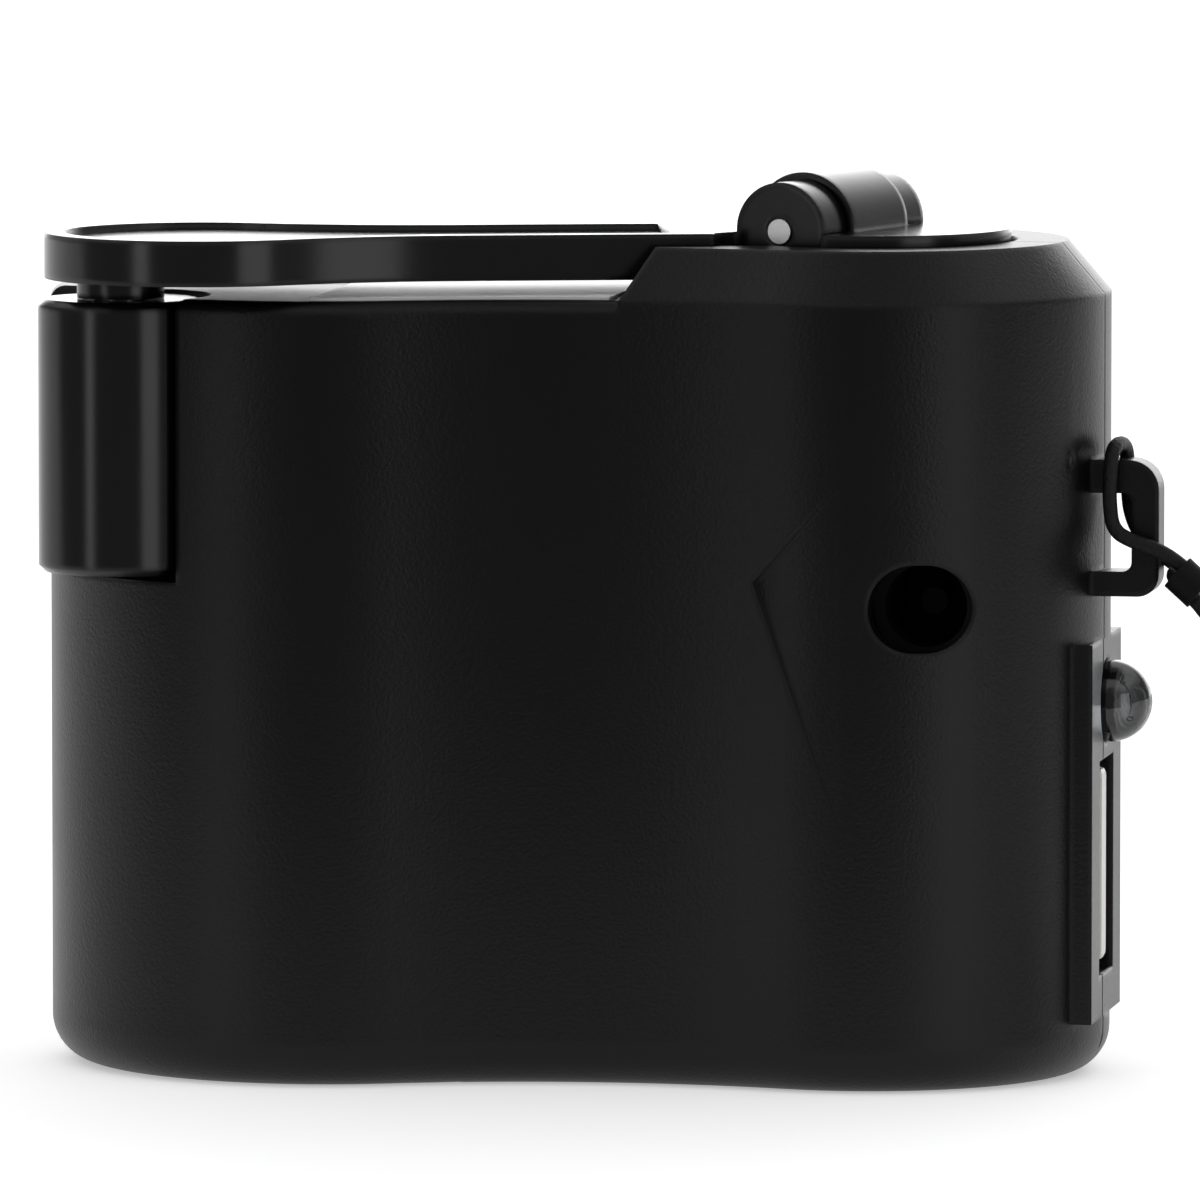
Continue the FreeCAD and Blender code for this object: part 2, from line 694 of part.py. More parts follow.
hub_left = box(
    "hub_left",
    "30",
    "40",
    "20",
    LOCAL_PIN.x + LOCAL_AXIS.x * 20,
    LOCAL_PIN.y + LOCAL_AXIS.y * 20,
    "40",
    turn=math.degrees(math.atan2(LOCAL_OUT.y, LOCAL_OUT.x)),
)
hub_height = "hub_top - (body_height + platform_rise - well_depth + 0.2)"
hub_foot = "body_height + platform_rise - well_depth + 0.2"
hub_disc = cut(
    "hub_disc",
    rod("hub_round", "hub_radius", hub_height, "0", "0", hub_foot),
    hub_left,
    pin_rod("ear_room_near", "ear_radius + hinge_gap", "knuckle_length / 2", "20"),
    pin_rod("ear_room_far", "ear_radius + hinge_gap", "-20", "-knuckle_length / 2"),
)
knuckle = common(
    "knuckle",
    pin_rod("knuckle_rod", "knuckle_radius", "-knuckle_length / 2", "knuckle_length / 2"),
    box("knuckle_room", "60", "60", "20", "-30", "-30", hub_foot),
)
crank_hub = on_crank(
    cut(
        "crank_hub",
        fuse("hub_solid", hub_disc, knuckle),
        pin_rod("hub_pin_hole", "pin_radius + fit", "-10", "10"),
        rod("shaft_socket", "shaft_radius", "shaft_top - 40", "0", "0", "40"),
    )
)
knob_stud = on_crank(
    cut(
        "knob_stud",
        rod("stud_rod", "stud_radius", "arm_top - arm_recess - knob_foot - 1.5", "crank_reach", "0", "knob_foot + 1.5"),
        rod("stud_thread", "0.8", "8.5", "crank_reach", "0", "knob_foot + 1.5"),
    )
)
knob_screw = on_crank(
    fuse(
        "knob_screw",
        rod("knob_screw_head", "2.5", "1", "crank_reach", "0", "knob_foot + 0.5"),
        rod("knob_screw_shank", "0.8", "8", "crank_reach", "0", "knob_foot + 1.5"),
    )
)
doc.recompute()
knob_body = doc.addObject("PartDesign::Body", "knob")
knob_outline = sketch_on(knob_body, "knob_outline", "knob_foot")
rim = knob_outline.addGeometry(Part.Circle(V(0, 0), V(0, 0, 1), size("knob_radius")))
constrain(knob_outline, "Coincident", rim, 3, -1, 1)
constrain(knob_outline, "Radius", rim, size("knob_radius"), formula="knob_radius")
knob_pad = knob_body.newObject("PartDesign::Pad", "knob_pad")
knob_pad.Profile = knob_outline
bind(knob_pad, Length="knob_top - knob_foot")
doc.recompute()
knob_rims = knob_body.newObject("PartDesign::Chamfer", "knob_rims")
knob_rims.Base = (knob_pad, edges_where(knob_pad.Shape, lambda e: abs(e.BoundBox.ZLength) < 1e-4))
bind(knob_rims, Size="knob_bevel")
knob_body.Tip = knob_rims
doc.recompute()
knob_raw = place(group("knob_raw", knob_body), repr(KNOB.x), repr(KNOB.y))
knob_body.Label = "knob_form"
knob = cut(
    "knob_piece",
    knob_raw,
    rod("knob_bore", "stud_radius + fit", "40", repr(KNOB.x), repr(KNOB.y), "20"),
    rod("knob_counterbore", "2.9", "1.8", repr(KNOB.x), repr(KNOB.y), "knob_foot"),
)
knob.Label = "knob"

# ---------------------------------------------------------------- drive
MODULE = size("gear_module")
PRESSURE = math.radians(20)
WHEEL_TIP, PINION_TIP, BACKLASH = 0.30, 0.50, 0.10


def involute(angle):
    return math.tan(angle) - angle


def gear_wire(teeth, tip, phase, centre, z):
    """A closed gear outline: straight facets along true involute flanks, one tooth centred on phase."""
    pitch = MODULE * teeth / 2
    base = pitch * math.cos(PRESSURE)
    root = pitch - 1.25 * MODULE
    half = math.pi / (2 * teeth) - BACKLASH / (2 * pitch) / 2 + involute(PRESSURE)
    levels = [max(base, root + 0.05), pitch, pitch + tip]
    points = []
    for k in range(teeth):
        middle = phase + k * TURN / teeth
        flank = []
        for radius in levels:
            wide = half - involute(math.acos(min(1, base / radius)))
            flank.append((radius, wide))
        foot = (root, flank[0][1])
        for radius, wide in [foot] + flank:
            points.append((radius, middle - wide))
        for radius, wide in reversed([foot] + flank):
            points.append((radius, middle + wide))
    corners = [V(centre.x + r * math.cos(a), centre.y + r * math.sin(a), z) for r, a in points]
    return Part.makePolygon(corners + corners[:1])


def gear_part(name, teeth, tip, phase, centre, low, high, bore):
    solid = Part.Face(gear_wire(teeth, tip, phase, centre, low)).extrude(V(0, 0, high - low))
    hole = Part.makeCylinder(bore, high - low + 2, V(centre.x, centre.y, low - 1))
    return shape_part(name, solid.cut(hole))


def heading(start, end):
    return math.atan2(end.y - start.y, end.x - start.x)


def ring(name, outer, inner, height, x, y, z):
    return cut(name, rod(name + "_outer", outer, height, x, y, z), rod(name + "_inner", inner, "60", x, y, "0"))


crank_teeth, first_teeth = int(size("crank_teeth")), int(size("first_teeth"))
second_teeth, pinion_teeth = int(size("second_teeth")), int(size("pinion_teeth"))
bore = size("axle_radius") + size("fit")
CUP = 3.9
GEAR_FOOT = size("lower_plate_z") + size("plate_thickness")
BUSH_FOOT = size("body_height") - size("wall")
crank_gear = fuse(
    "crank_gear",
    gear_part(
        "crank_gear_teeth",
        crank_teeth,
        WHEEL_TIP,
        heading(HUB, FIRST) + math.pi / crank_teeth,
        HUB,
        GEAR_FOOT + 5.2,
        GEAR_FOOT + 7.8,
        CUP,
    ),
    ring("crank_gear_boss", "6", repr(CUP), "0.3", "right_x", "0", GEAR_FOOT + 7.8),
)
clutch_cup = cut(
    "clutch_cup",
    rod("clutch_outer", repr(CUP), "2.7", "right_x", "0", GEAR_FOOT + 5.3),
    rod("clutch_inner", "3.3", "1.9", "right_x", "0", GEAR_FOOT + 5.7),
    rod("clutch_bore", "shaft_radius + fit", "10", "right_x", "0", GEAR_FOOT + 2.8),
)
rollers = [
    rod(
        f"roller_{k}",
        "0.62",
        "1.7",
        f"right_x + {2.68 * math.cos(k * TURN / 6)!r}",
        repr(2.68 * math.sin(k * TURN / 6)),
        GEAR_FOOT + 5.8,
    )
    for k in range(6)
]
one_way_clutch = group("one_way_clutch", clutch_cup, *rollers)
first_gear = fuse(
    "first_gear",
    gear_part(
        "first_wheel",
        first_teeth,
        WHEEL_TIP,
        heading(FIRST, SECOND) + math.pi / first_teeth,
        FIRST,
        GEAR_FOOT + 2.8,
        GEAR_FOOT + 4.6,
        bore,
    ),
    gear_part("first_pinion", pinion_teeth, PINION_TIP, heading(FIRST, HUB), FIRST, GEAR_FOOT + 4.6, GEAR_FOOT + 8.0, bore),
    ring("first_hub", "1.6", "axle_radius + fit", "2.5", repr(FIRST.x), repr(FIRST.y), GEAR_FOOT + 0.3),
)
second_gear = fuse(
    "second_gear",
    gear_part(
        "second_wheel",
        second_teeth,
        WHEEL_TIP,
        heading(SECOND, ROTOR) + math.pi / second_teeth,
        SECOND,
        GEAR_FOOT + 0.4,
        GEAR_FOOT + 2.2,
        bore,
    ),
    gear_part("second_pinion", pinion_teeth, PINION_TIP, heading(SECOND, FIRST), SECOND, GEAR_FOOT + 2.2, GEAR_FOOT + 4.7, bore),
    ring("second_hub", "1.6", "axle_radius + fit", "3.3", repr(SECOND.x), repr(SECOND.y), GEAR_FOOT + 4.7),
)
motor_pinion = gear_part(
    "motor_pinion",
    pinion_teeth,
    PINION_TIP,
    heading(ROTOR, SECOND),
    ROTOR,
    GEAR_FOOT + 0.3,
    GEAR_FOOT + 2.6,
    1.0,
)

crank_shaft = fuse(
    "crank_shaft",
    rod("shaft_rod", "shaft_radius", "shaft_top - (lower_plate_z - 0.9)", "right_x", "0", "lower_plate_z - 0.9"),
    rod("shaft_collar", "3", "0.9", "right_x", "0", GEAR_FOOT + 4.2),
)
shaft_clip = ring("shaft_clip", "3.5", "shaft_radius", "0.5", "right_x", "0", "lower_plate_z - 0.7")
top_bush = cut(
    "top_bush",
    fuse(
        "bush_solid",
        rod("bush_body", "shaft_radius + 1", f"{WELL_Z - BUSH_FOOT!r}", "right_x", "0", BUSH_FOOT),
        rod("bush_flange", "4", "0.6", "right_x", "0", "body_height - wall - 0.6"),
    ),
    rod("bush_bore", "shaft_radius + fit", "10", "right_x", "0", "body_height - 5.5"),
)
hub_washer = ring("hub_washer", "5", "shaft_radius + 0.1", "0.18", "right_x", "0", "body_height + platform_rise - well_depth")


def hull_block(name, c1, r1, c2, r2, low, high):
    """A plate bounded by two circles and the lines that touch both."""
    line = V(c2.x - c1.x, c2.y - c1.y, 0)
    base = math.atan2(line.y, line.x)
    lean = math.acos((r1 - r2) / line.Length)

    def at(c, r, a):
        return V(c.x + r * math.cos(a), c.y + r * math.sin(a), low)

    edges = [
        Part.LineSegment(at(c1, r1, base - lean), at(c2, r2, base - lean)).toShape(),
        Part.Arc(at(c2, r2, base - lean), at(c2, r2, base), at(c2, r2, base + lean)).toShape(),
        Part.LineSegment(at(c2, r2, base + lean), at(c1, r1, base + lean)).toShape(),
        Part.Arc(at(c1, r1, base + lean), at(c1, r1, base + math.pi), at(c1, r1, base - lean)).toShape(),
    ]
    return shape_part(name, Part.Face(Part.Wire(edges)).extrude(V(0, 0, high - low)))


plate_radius = size("right_radius") - size("wall") - 0.5
PILLARS = [(-6, 8.2), (-15.5, -7.0)]


def gear_plate(name, left, left_radius, low, holes):
    top = size(low) + size("plate_thickness")
    plate = common(
        name + "_form",
        hull_block(name + "_hull", left, left_radius, HUB, plate_radius, size(low), top),
        peanut_block(name + "_room", "wall + 0.15", f"{low} - 1", f"{low} + 3"),
    )
    axles = [
        rod(f"{name}_axle_{k}", "axle_radius", "20", repr(c.x), repr(c.y), f"{low} - 5")
        for k, c in enumerate((FIRST, SECOND))
    ]
    return cut(name, plate, *axles, *holes)


lower_gear_plate = gear_plate(
    "lower_gear_plate",
    ROTOR,
    size("generator_radius"),
    "lower_plate_z",
    [
        rod("lower_shaft_hole", "shaft_radius + fit", "20", "right_x", "0", "30"),
        rod("rotor_hole", "1.5", "20", "generator_x", "generator_y", "30"),
    ],
)
upper_gear_plate = gear_plate(
    "upper_gear_plate",
    V(-11, -0.5, 0),
    10,
    "upper_plate_z",
    [rod("upper_shaft_hole", "shaft_radius + 0.4", "20", "right_x", "0", "40")],
)
plate_pillars = group(
    "plate_pillars",
    *[
        rod(f"pillar_{k}", "1.5", "upper_plate_z - lower_plate_z - plate_thickness", x, y, "lower_plate_z + plate_thickness")
        for k, (x, y) in enumerate(PILLARS)
    ],
)
gear_axles = group(
    "gear_axles",
    *[
        rod(f"axle_{k}", "axle_radius", "upper_plate_z + plate_thickness - lower_plate_z", repr(c.x), repr(c.y), "lower_plate_z")
        for k, c in enumerate((FIRST, SECOND))
    ],
)

# ---------------------------------------------------------------- generator
GX, GY = "generator_x", "generator_y"
can_foot = "lower_plate_z - generator_length"
generator_can = cut(
    "generator_can",
    rod("can_outer", "generator_radius", "generator_length", GX, GY, can_foot),
    rod("can_inner", "generator_radius - 0.8", "generator_length - 0.8", GX, GY, can_foot),
    rod("can_bearing", "1 + fit", "40", GX, GY, "10"),
)
generator_end_cap = cut(
    "generator_end_cap",
    rod("cap_disc", "generator_radius", "1.5", GX, GY, f"{can_foot} - 1.5"),
    rod("cap_bearing", "1 + fit", "10", GX, GY, f"{can_foot} - 1.2"),
)
magnet_ring = ring("magnet_ring", "generator_radius - 0.8", "rotor_radius + 0.6", "14", GX, GY, f"{can_foot} + 3.2")
stator_magnets = cut("stator_magnets", magnet_ring, box("magnet_split", "6", "40", "30", "generator_x - 3", "-20", "10"))
rotor_shaft = group("rotor_shaft", rod("rotor_rod", "1", "25.2", GX, GY, f"{can_foot} - 1"))
slots = [
    box(
        f"slot_{k}",
        "4",
        "1.2",
        "30",
        f"generator_x + {5 * math.cos(a) + 0.6 * math.sin(a)!r}",
        f"generator_y + {5 * math.sin(a) - 0.6 * math.cos(a)!r}",
        "10",
        turn=math.degrees(a),
    )
    for k, a in enumerate([TURN * k / 5 for k in range(5)])
]
armature = cut("armature", rod("armature_core", "rotor_radius", "12", GX, GY, f"{can_foot} + 4.2"), rod("armature_bore", "1", "40", GX, GY, "5"), *slots)
commutator = ring("commutator", "2.2", "1", "2.5", GX, GY, f"{can_foot} + 1.2")

# ---------------------------------------------------------------- charging board and sockets
board_face = "2.85"
circuit_board = box("circuit_board", "23.5", "board_thickness", "27", "6", board_face, "4.5")
usb_back = "end_x - usb_recess - usb_deep"
usb_shell = cut(
    "usb_shell",
    box("usb_outer", "usb_deep", "usb_wide", "usb_tall", usb_back, "-usb_wide / 2", "usb_z - usb_tall / 2"),
    box(
        "usb_inner",
        "usb_deep",
        "usb_wide - 2 * usb_metal",
        "usb_tall - 2 * usb_metal",
        f"{usb_back} + usb_metal",
        "usb_metal - usb_wide / 2",
        "usb_z - usb_tall / 2 + usb_metal",
    ),
)
usb_tongue = fuse(
    "usb_tongue",
    box(
        "tongue_base",
        "2.5",
        "usb_wide - 2 * usb_metal",
        "usb_tall - 2 * usb_metal",
        f"{usb_back} + usb_metal",
        "usb_metal - usb_wide / 2",
        "usb_z - usb_tall / 2 + usb_metal",
    ),
    box("tongue_bar", "27 - 18", "1.9", "usb_tall - 2.2", "18", "-0.4", "usb_z - usb_tall / 2 + 1.1"),
)
usb_contacts = group(
    "usb_contacts",
    *[box(f"contact_{k}", "6.5", "0.15", "1", "20.2", "-0.55", f"usb_z + ({z - 0.5})") for k, z in enumerate((-3.5, -1, 1, 3.5))],
)
dc_jack = cut(
    "dc_jack",
    fuse(
        "jack_solid",
        rod_y("jack_front", "jack_radius", "3", "jack_x", "-11", "jack_z"),
        box("jack_body", "6", f"9 + {board_face}", "6", "jack_x - 3", "-9", "jack_z - 3"),
    ),
    rod_y("jack_bore_rod", "jack_bore", "8", "jack_x", "-11", "jack_z"),
    rod_y("jack_pin_hole", "0.8", "3", "jack_x", "-4", "jack_z"),
)
dc_jack_pin = group("dc_jack_pin", rod_y("jack_pin_rod", "0.8", "6.5", "jack_x", "-7.5", "jack_z"))
lamp_dome = doc.addObject("Part::Sphere", "lamp_dome")
bind(lamp_dome, Radius="lamp_radius")
place(lamp_dome, "lamp_tip_x - lamp_radius", "0", "lamp_z")
led_lamp = fuse(
    "led_lamp",
    rod_x("lamp_flange", "lamp_radius + 0.3", "1", "27", "0", "lamp_z"),
    rod_x("lamp_body", "lamp_radius", "lamp_tip_x - lamp_radius - 27", "27", "0", "lamp_z"),
    lamp_dome,
)


def lead(name, radius, *points):
    """A bent wire: straight rods with a ball in each bend."""
    parts = []
    for k, (start, end) in enumerate(zip(points, points[1:])):
        start, end = V(*start), V(*end)
        run = end - start
        parts.append(Part.makeCylinder(radius, run.Length, start, run))
        if k:
            parts.append(Part.makeSphere(radius, start))
    return shape_part(name, parts[0].fuse(parts[1:]).removeSplitter())


led_leads = group(
    "led_leads",
    *[
        lead(f"led_lead_{k}", 0.25, (27, 0, size("lamp_z") + z), (24.5, 0, size("lamp_z") + z), (24.5, 2.85, size("lamp_z") + z))
        for k, z in enumerate((-1.27, 1.27))
    ],
)
capacitor = rod("capacitor", "3.15", "11", "12", f"{board_face} - 3.15", "10")
diodes = group(
    "diodes",
    *[rod(f"diode_{k}", "1.35", "5", x, f"{board_face} - 1.35", "23") for k, x in enumerate(("9", "13"))],
)
regulator = box("regulator", "6", "1.45", "3.7", "8", f"{board_face} - 1.45", "5.4")
generator_leads = group(
    "generator_leads",
    lead("lead_a", 0.5, (-9, 0, 12.3), (-9, 0, 11.2), (5, 1.4, 11.2), (7.3, 2.35, 11.2)),
    lead("lead_b", 0.5, (-9, 3, 12.3), (-9, 3, 11.2), (-2, 3, 11.2), (3, 2.35, 13.6), (7.3, 2.35, 13.6)),
)

# ---------------------------------------------------------------- wrist cord
CORD_POINTS = [
    (38.76, -4.79, 30.32),
    (37.43, -4.75, 31.50),
    (36.10, -4.85, 32.35),
    (34.60, -4.90, 32.80),
    (33.35, -4.85, 33.45),
    (33.10, -4.65, 35.00),
    (33.10, -4.60, 36.50),
    (33.25, -4.60, 38.55),
    (33.60, -1.00, 38.55),
    (33.70, -0.95, 36.50),
    (33.75, -0.90, 34.40),
    (34.50, -0.90, 32.70),
    (36.05, -0.80, 31.50),
    (37.10, -2.40, 31.00),
    (36.80, -4.75, 30.75),
    (38.54, -4.80, 29.18),
    (40.00, -5.10, 27.20),
    (42.40, -5.90, 22.80),
    (45.30, -7.10, 15.80),
    (47.90, -8.60, 8.40),
    (50.20, -9.90, 2.40),
    (52.90, -10.40, 0.90),
]
TIGHT = {}


def cord_route(points, tight):
    """Straight runs joined by arcs that touch both; the arcs in tight are given, the others as wide as fits."""
    corners = [V(*p) for p in points]
    edges, reached = [], corners[0]
    for k in range(1, len(corners) - 1):
        before = (corners[k] - corners[k - 1]).normalize()
        after = (corners[k + 1] - corners[k]).normalize()
        half_turn = before.getAngle(after) / 2
        run = min((corners[k] - corners[k - 1]).Length, (corners[k + 1] - corners[k]).Length)
        radius = tight.get(k, min(0.45 * run / math.tan(half_turn), 15 * size("cord_diameter")))
        back = radius * math.tan(half_turn)
        start, end = corners[k] - before * back, corners[k] + after * back
        inward = (after - before).normalize()
        middle = corners[k] + inward * (radius / math.cos(half_turn) - radius)
        edges.append(Part.LineSegment(reached, start).toShape())
        edges.append(Part.Arc(start, middle, end).toShape())
        reached = end
        print(f"cord corner {k}: turn {math.degrees(2 * half_turn):.1f}, radius {radius:.2f}")
    edges.append(Part.LineSegment(reached, corners[-1]).toShape())
    return Part.Wire(edges)


def cord_tube(points, tight, radius):
    route = cord_route(points, tight)
    start = V(*points[0])
    profile = Part.Wire(Part.makeCircle(radius, start, V(*points[1]) - start))
    return route.makePipeShell([profile], True, False)


cord_line = shape_part("cord_line", cord_tube(CORD_POINTS, TIGHT, size("cord_diameter") / 2))
coil_ring = ring("coil_ring", "coil_radius + cord_diameter", "coil_radius - cord_diameter", "2 * cord_diameter", "coil_x", "coil_y", "0")
doc.recompute()
lanyard_coil = doc.addObject("Part::Chamfer", "lanyard_coil")
lanyard_coil.Base = coil_ring
ring_rims = edges_where(coil_ring.Shape, lambda e: e.BoundBox.ZLength < 1e-4 and e.BoundBox.XLength > 1)
lanyard_coil.Edges = [(int(name[4:]), 0.35, 0.35) for name in ring_rims]
lanyard_cord = cut("lanyard_cord", cord_line, lanyard_coil)
SLEEVE_START, SLEEVE_END = V(37.25, -4.75, 31.0), V(38.65, -4.8, 29.75)
sleeve = Part.makeCylinder(
    size("ferrule_radius"),
    (SLEEVE_END - SLEEVE_START).Length,
    SLEEVE_START,
    SLEEVE_END - SLEEVE_START,
)
lanyard_ferrule = cut("lanyard_ferrule", shape_part("sleeve", sleeve), cord_line)
knot_x = "coil_x + coil_radius - cord_diameter - knot_radius + 0.3"
knot_barrel = rod("knot_barrel", "knot_radius", "2 * knot_radius", knot_x, "coil_y", "0")
lanyard_knot = cut("lanyard_knot", knot_barrel, lanyard_coil)

# ---------------------------------------------------------------- nodes
NODES = {
    "front_shell": front_shell,
    "rear_shell": rear_shell,
    "label_plate": label_plate,
    "shell_screws": shell_screws,
    "top_bush": top_bush,
    "hub_washer": hub_washer,
    "upper_gear_plate": upper_gear_plate,
    "lower_gear_plate": lower_gear_plate,
    "plate_pillars": plate_pillars,
    "gear_axles": gear_axles,
    "generator_can": generator_can,
    "generator_end_cap": generator_end_cap,
    "stator_magnets": stator_magnets,
    "generator_leads": generator_leads,
    "circuit_board": circuit_board,
    "usb_shell": usb_shell,
    "usb_tongue": usb_tongue,
    "usb_contacts": usb_contacts,
    "dc_jack": dc_jack,
    "dc_jack_pin": dc_jack_pin,
    "led_lamp": led_lamp,
    "led_leads": led_leads,
    "capacitor": capacitor,
    "diodes": diodes,
    "regulator": regulator,
    "lanyard_cord": lanyard_cord,
    "lanyard_coil": lanyard_coil,
    "lanyard_ferrule": lanyard_ferrule,
    "lanyard_knot": lanyard_knot,
    "crank_hub": crank_hub,
    "crank_shaft": crank_shaft,
    "shaft_clip": shaft_clip,
    "crank_arm": crank_arm,
    "hinge_pin": hinge_pin,
    "knob_stud": knob_stud,
    "knob_screw": knob_screw,
    "knob": knob,
    "crank_gear": crank_gear,
    "one_way_clutch": one_way_clutch,
    "first_gear": first_gear,
    "second_gear": second_gear,
    "rotor_shaft": rotor_shaft,
    "armature": armature,
    "commutator": commutator,
    "motor_pinion": motor_pinion,
}
doc.recompute()
for obj in doc.Objects:
    if "Invalid" in obj.State or "Error" in obj.State:
        raise RuntimeError(f"{obj.Name} did not build: {obj.State}")
os.makedirs("parts", exist_ok=True)
for node, obj in NODES.items():
    obj.Label = node
    if obj.Shape.isNull() or not obj.Shape.isValid():
        raise RuntimeError(f"{node} has no valid shape")
    obj.Shape.exportStep(f"parts/{node}.step")
print(len(NODES), "nodes written")
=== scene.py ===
# %% [markdown]
# # A hand crank phone charger, dressed for a product picture
# The hard parts of this charger were drawn in CAD and arrive here as finished meshes, one for
# each real piece. This lesson gives them their finishes, adds the soft wrist cord, and lights
# the whole as a small studio would. Nothing here is painted by hand: every finish is a small
# node tree, so it can be read, changed and reused.

# %% Load the CAD frame
import math

import bpy
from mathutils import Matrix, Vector


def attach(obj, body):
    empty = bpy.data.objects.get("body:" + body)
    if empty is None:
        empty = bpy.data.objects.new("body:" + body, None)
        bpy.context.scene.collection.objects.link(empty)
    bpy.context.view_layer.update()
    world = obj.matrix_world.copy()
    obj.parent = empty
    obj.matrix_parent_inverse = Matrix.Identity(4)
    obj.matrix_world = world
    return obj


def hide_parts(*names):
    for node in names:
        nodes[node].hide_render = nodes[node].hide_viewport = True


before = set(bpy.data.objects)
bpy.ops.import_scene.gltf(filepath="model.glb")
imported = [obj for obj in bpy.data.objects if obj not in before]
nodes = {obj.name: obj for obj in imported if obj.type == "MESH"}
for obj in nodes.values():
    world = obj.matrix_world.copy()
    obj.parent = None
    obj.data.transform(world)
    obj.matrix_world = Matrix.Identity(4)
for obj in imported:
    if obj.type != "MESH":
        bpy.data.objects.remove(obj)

MM = 0.001
scene = bpy.context.scene
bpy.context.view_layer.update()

# %% [markdown]
# ## Camera
# A product photographer stands back and uses a long lens, so that upright walls stay upright and
# the far end of the body is nearly as large as the near end. The camera is placed by its aim
# point, its distance and its height. Blender's lens value is a focal length on a 36 mm sensor,
# so a focal length in picture widths is turned into it.

# %% Camera
AIM = Vector((1.1, 0.0, 28.32)) * MM
TURN = math.radians(10.0)
DISTANCE = 900.0 * MM
HEIGHT = 110.0 * MM
FOCAL_IN_WIDTHS = 12.35
SENSOR_MM = 36.0
NEAR, FAR = 0.05, 20.0

eye = Vector((AIM.x + DISTANCE * math.sin(TURN), AIM.y - DISTANCE * math.cos(TURN), HEIGHT))
lens = bpy.data.cameras.new("long_lens")
lens.sensor_width = SENSOR_MM
lens.lens = SENSOR_MM * FOCAL_IN_WIDTHS
lens.clip_start, lens.clip_end = NEAR, FAR
camera = bpy.data.objects.new("camera", lens)
scene.collection.objects.link(camera)
camera.location = eye
camera.rotation_mode = "QUATERNION"
camera.rotation_quaternion = (AIM - eye).to_track_quat("-Z", "Y")
scene.camera = camera
scene.view_settings.view_transform = "Standard"
print("camera stands", round((eye - AIM).length / MM), "mm away")

# %% [markdown]
# ## Helpers for materials
# Colours are written as the hex values that a colour picker shows. Those are sRGB, and a shader
# wants linear light, so one function converts them. A second function adds a node with its
# settings and its links in one line, so that a finish reads from top to bottom as a recipe.

# %% Colour and node helpers


def linear(hex_text):
    """The linear RGBA colour of an sRGB hex value such as '#2a2a2c'."""
    parts = [int(hex_text[i : i + 2], 16) / 255 for i in (1, 3, 5)]
    return [p / 12.92 if p <= 0.04045 else ((p + 0.055) / 1.055) ** 2.4 for p in parts] + [1.0]


def node(tree, kind, links=None, **settings):
    """Adds a shader node; settings are its properties or input values, links feed its inputs."""
    made = tree.nodes.new(kind)
    for name, value in settings.items():
        if hasattr(made, name):
            setattr(made, name, value)
        else:
            made.inputs[name.replace("_", " ")].default_value = value
    for name, source in (links or {}).items():
        key = name if isinstance(name, int) else name.replace("_", " ")
        tree.links.new(source, made.inputs[key])
    return made


def finish_material(name):
    """A new Principled material: returns the material, its node tree and the shader."""
    material = bpy.data.materials.new(name)
    material.use_nodes = True
    tree = material.node_tree
    return material, tree, tree.nodes["Principled BSDF"]


def wear(piece, material):
    """Puts one material on every slot of a piece."""
    piece.data.materials.clear()
    piece.data.materials.append(material)


print("mid grey #808080 is", round(linear("#808080")[0], 3), "in linear light")

# %% [markdown]
# ## The housing and the crank: moulded ABS
# The two shells are moulded in black ABS. Their mould was spark eroded, which leaves a fine even
# grain of about a fifth of a millimetre, so the plastic looks matt head on and turns bright only
# where light grazes it. The crank and the knob come from a smoother mould and look satin: their
# surface has only a slight waviness of under a millimetre. ABS has an index of refraction near
# 1.54. Real grain could be modelled, but it would need millions of faces, so a noise bump draws
# it. A slower noise varies the roughness a little, as handling does. A bevel node rounds every
# moulded edge by half a millimetre, so that edges catch a line of light.

# %% Finish of the housing and the crank
GRAIN_MM, GRAIN_DEPTH_MM = 0.22, 0.04
WAVES_MM, WAVES_DEPTH_MM = 0.8, 0.004
HANDLING_MM = 9
EDGE_MM = 0.5
ABS_IOR = 1.54
BLACK = "#060607"
TIP_SHARE = 1.25  # the grain's tips are a quarter lighter than its floor


def textured_abs(name, shade, rough, grain_mm, depth_mm, shine):
    material, tree, shader = finish_material(name)
    place = {"Vector": node(tree, "ShaderNodeTexCoord").outputs["Object"]}
    grain = node(
        tree, "ShaderNodeTexNoise", place, Scale=1 / (grain_mm * MM), Detail=3.0, Roughness=0.6
    )
    cloud = node(tree, "ShaderNodeTexNoise", place, Scale=1 / (HANDLING_MM * MM), Detail=2.0)
    edge = node(tree, "ShaderNodeBevel", samples=4, Radius=EDGE_MM * MM)
    heights = {"Height": grain.outputs["Fac"], "Normal": edge.outputs["Normal"]}
    bump = node(tree, "ShaderNodeBump", heights, Strength=0.8, Distance=depth_mm * MM)
    handled = {"Value": cloud.outputs["Fac"]}
    spread = node(
        tree, "ShaderNodeMapRange", handled, To_Min=rough - 0.04, To_Max=rough + 0.05
    )
    tint = node(tree, "ShaderNodeMix", {0: grain.outputs["Fac"]}, data_type="RGBA")
    tint.inputs[6].default_value = linear(shade)
    tint.inputs[7].default_value = [c * TIP_SHARE for c in linear(shade)[:3]] + [1]
    tree.links.new(tint.outputs[2], shader.inputs["Base Color"])
    tree.links.new(spread.outputs[0], shader.inputs["Roughness"])
    tree.links.new(bump.outputs[0], shader.inputs["Normal"])
    shader.inputs["IOR"].default_value = ABS_IOR
    shader.inputs["Specular IOR Level"].default_value = shine
    return material


